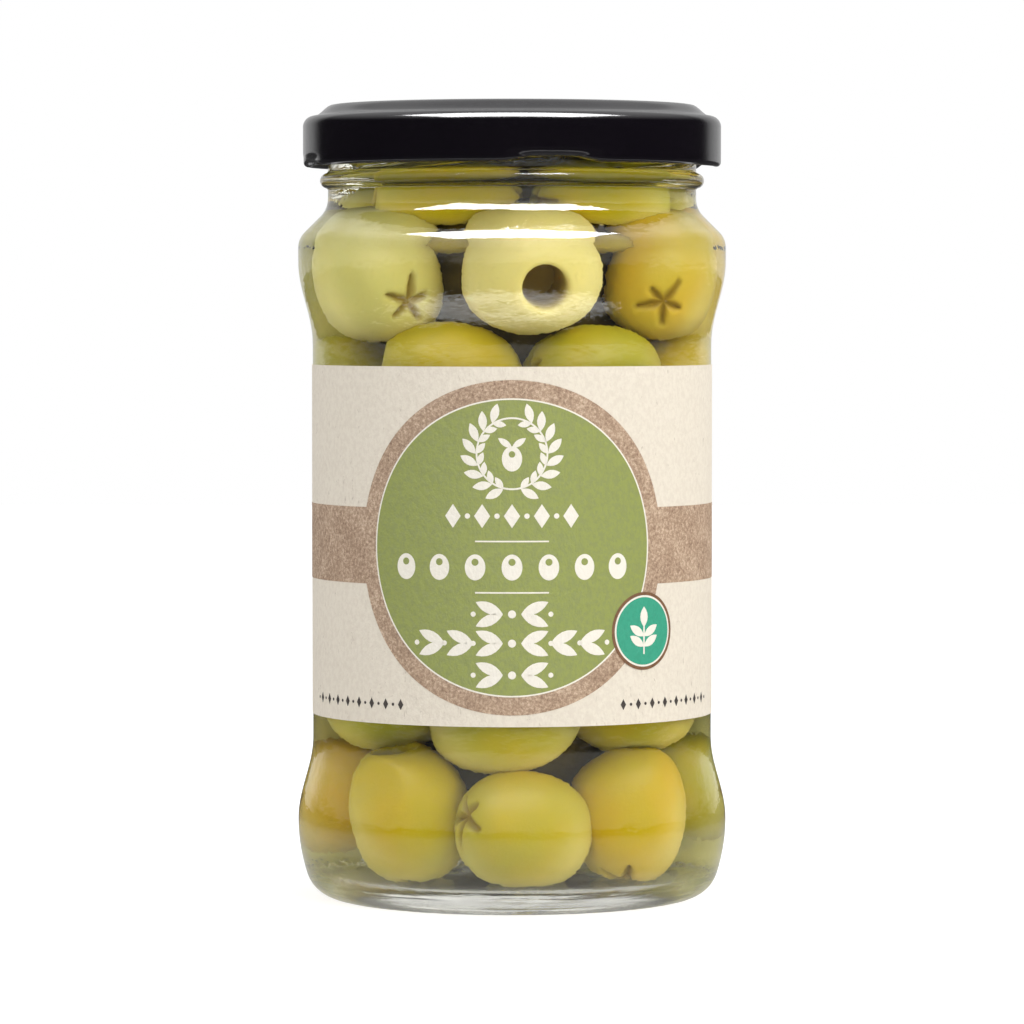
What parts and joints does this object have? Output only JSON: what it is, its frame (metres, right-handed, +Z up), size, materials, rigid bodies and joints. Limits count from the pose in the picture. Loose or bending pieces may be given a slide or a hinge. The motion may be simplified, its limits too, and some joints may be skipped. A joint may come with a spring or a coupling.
{
  "type": "jar of olives",
  "caption": "Round clear glass jar of pitted green olives in brine, with a paper wrap label and a black twist-off metal lid.",
  "frame": {"origin": "centre of the jar's foot, on the surface it stands on", "axes": "+Z up along the jar's axis, -Y towards the front of the label, +X to its right"},
  "size_m": [0.0682, 0.0682, 0.1261],
  "materials": {
    "clear_glass": "clear, smooth",
    "olives_in_brine": "wet yellow-green olives in clear brine",
    "label_paper": "matt uncoated paper with flat printed colours",
    "black_tinplate": "gloss black lacquer"
  },
  "bodies": {
    "root": {"jar_glass": "clear_glass", "brine": "olives_in_brine", "label": "label_paper", "lid": "black_tinplate"}
  },
  "joints": []
}
